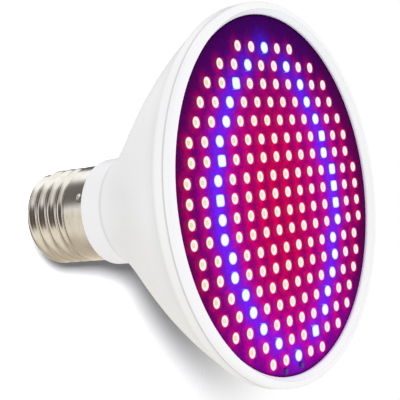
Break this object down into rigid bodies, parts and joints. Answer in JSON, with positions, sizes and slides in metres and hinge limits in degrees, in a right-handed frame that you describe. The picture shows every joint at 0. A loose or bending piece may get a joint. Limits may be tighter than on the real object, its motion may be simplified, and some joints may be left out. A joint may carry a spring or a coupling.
{
  "type": "grow light bulb",
  "caption": "Reflector-shaped LED grow bulb: a white flared housing with a large screw cap and a round violet-lit board of red and blue LEDs behind a narrow front ring.",
  "frame": {"origin": "centre of the plane that the front of the rim stands on", "axes": "+Z along the bulb's axis from the LED face to the screw cap, X along the rows of LEDs, +Y towards the edge where the leads reach the board"},
  "size_m": [0.095, 0.095, 0.0826],
  "materials": {
    "white_plastic": "satin moulded white",
    "ring_plastic": "smooth moulded white",
    "plated_sheet": "bright nickel plate on brass sheet",
    "dark_insulator": "black glassy",
    "contact_metal": "tinned, slightly dull",
    "lit_board": "solder mask on an aluminium-core board, lit violet and crimson",
    "solder": "bright solder",
    "red_led": "moulded package with a clear filled window, lit",
    "blue_led": "moulded package with a clear filled window, lit",
    "driver_laminate": "paper laminate",
    "capacitor_sleeve": "black sleeve",
    "film_block": "dipped resin",
    "black_package": "moulded epoxy",
    "resistor_body": "lacquer",
    "red_insulation": "wire insulation",
    "black_insulation": "wire insulation"
  },
  "bodies": {
    "root": {"housing": "white_plastic", "front_ring": "ring_plastic", "screw_shell": "plated_sheet", "cap_insulator": "dark_insulator", "centre_contact": "contact_metal", "led_board": "lit_board", "lead_joints": "solder", "red_leds": "red_led", "blue_leds": "blue_led", "driver_board": "driver_laminate", "electrolytic_capacitor": "capacitor_sleeve", "film_capacitor": "film_block", "bridge_rectifier": "black_package", "current_regulators": "black_package", "discharge_resistors": "black_package", "fuse_resistor": "resistor_body", "board_lead_positive": "red_insulation", "board_lead_negative": "black_insulation", "contact_lead": "red_insulation", "shell_lead": "black_insulation"}
  },
  "joints": []
}
